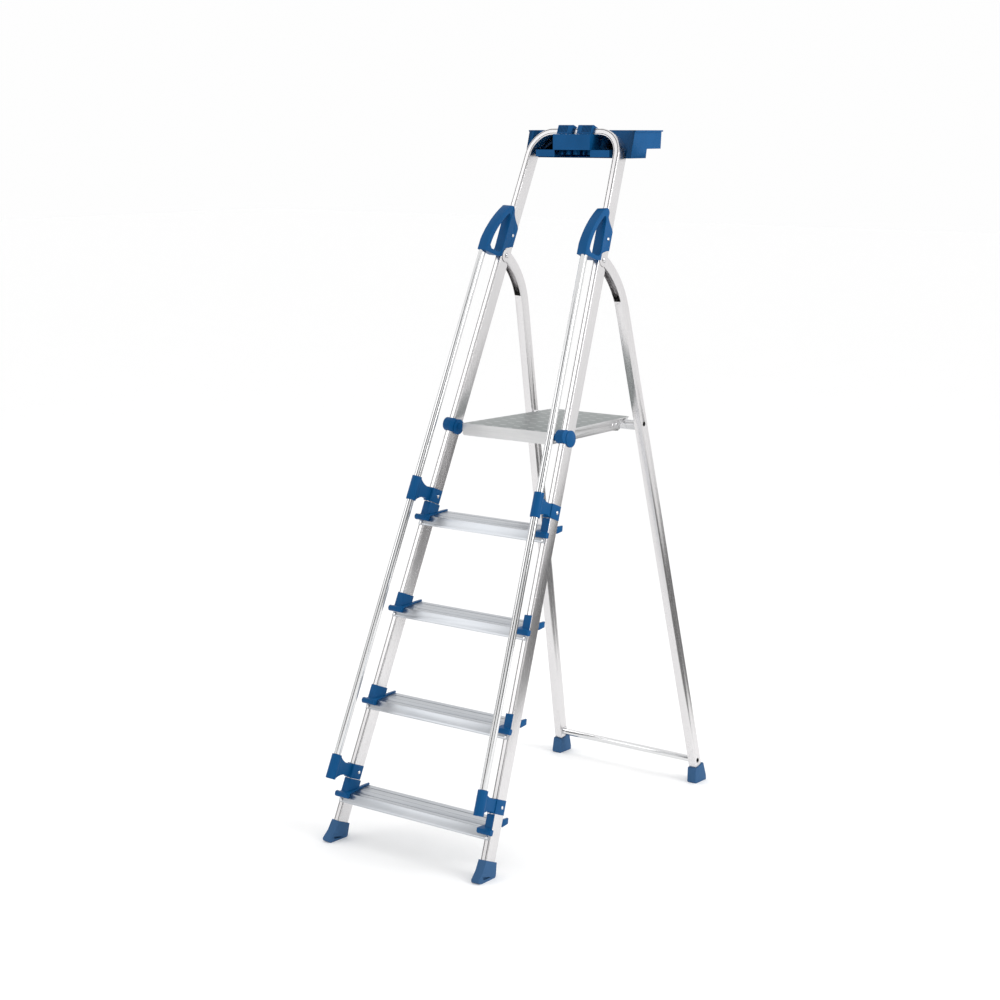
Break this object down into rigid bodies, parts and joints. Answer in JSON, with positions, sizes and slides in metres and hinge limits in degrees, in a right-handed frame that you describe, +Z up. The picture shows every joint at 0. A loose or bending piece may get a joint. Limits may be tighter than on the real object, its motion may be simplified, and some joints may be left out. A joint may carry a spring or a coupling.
{
  "type": "step ladder",
  "caption": "Folding step ladder with a guard hoop, two side handrails, ribbed treads, a fold-up standing platform, splayed rear legs and a tool tray on top.",
  "frame": {"origin": "on the floor, midway between the front toes and the rear heels, on the ladder's middle plane", "axes": "+X across the ladder to the climber's right, +Y from the treads to the rear legs, +Z up"},
  "size_m": [0.5344, 1.0888, 1.8959],
  "materials": {
    "anodised_tube": "satin, drawn",
    "polished_rail": "polished",
    "ribbed_aluminium": "extruded, ribbed",
    "bright_metal": "bright",
    "dark_steel": "dark",
    "platform_sheet": "embossed sheet",
    "foot_rubber": "matt",
    "blue_plastic": "moulded, satin"
  },
  "bodies": {
    "front_frame": {"front_tube": "anodised_tube", "handrail_left": "polished_rail", "handrail_right": "polished_rail", "handle_left": "blue_plastic", "handle_right": "blue_plastic", "rail_bracket_upper_left": "blue_plastic", "rail_bracket_upper_right": "blue_plastic", "rail_bracket_lower_left": "blue_plastic", "rail_bracket_lower_right": "blue_plastic", "tread_1": "ribbed_aluminium", "tread_2": "ribbed_aluminium", "tread_3": "ribbed_aluminium", "tread_4": "ribbed_aluminium", "tread_bracket_1_left": "blue_plastic", "tread_bracket_1_right": "blue_plastic", "tread_bracket_2_left": "blue_plastic", "tread_bracket_2_right": "blue_plastic", "tread_bracket_3_left": "blue_plastic", "tread_bracket_3_right": "blue_plastic", "tread_bracket_4_left": "blue_plastic", "tread_bracket_4_right": "blue_plastic", "front_foot_left": "foot_rubber", "front_foot_right": "foot_rubber", "platform_knob_left": "blue_plastic", "platform_knob_right": "blue_plastic", "tread_rivets": "bright_metal", "wrap_rivets": "bright_metal", "leg_pivots": "bright_metal", "tool_tray": "blue_plastic", "tray_clip_pins": "bright_metal"},
    "rear_frame": {"rear_leg_left": "anodised_tube", "rear_leg_right": "anodised_tube", "upper_crossbar": "bright_metal", "lower_crossbar": "bright_metal", "crossbar_bolts": "dark_steel", "crossbar_washers": "bright_metal", "rear_foot_left": "foot_rubber", "rear_foot_right": "foot_rubber"},
    "platform": {"platform_deck": "platform_sheet", "platform_hook_left": "bright_metal", "platform_hook_right": "bright_metal", "platform_rivets": "bright_metal", "platform_retainers": "dark_steel"},
    "clip_left": {"tray_clip_left": "blue_plastic"},
    "clip_right": {"tray_clip_right": "blue_plastic"}
  },
  "joints": [
    {"name": "rear_frame_fold", "type": "hinge", "parent": "front_frame", "child": "rear_frame", "pos_m": [0, 0.11715, 1.53901], "axis": [-1, 0, 0], "range_deg": [0, 33]},
    {"name": "platform_fold", "type": "hinge", "parent": "front_frame", "child": "platform", "pos_m": [0, -0.06871, 1.079], "axis": [1, 0, 0], "range_deg": [0, 66]},
    {"name": "tray_clip_left_open", "type": "hinge", "parent": "front_frame", "child": "clip_left", "pos_m": [0, 0.27799, 1.86769], "axis": [-1, 0, 0], "range_deg": [0, 70]},
    {"name": "tray_clip_right_open", "type": "hinge", "parent": "front_frame", "child": "clip_right", "pos_m": [0, 0.27799, 1.86769], "axis": [-1, 0, 0], "range_deg": [0, 70]}
  ],
  "couplings": [
    {"joint": "platform_fold", "follows": "rear_frame_fold", "ratio": 2}
  ]
}
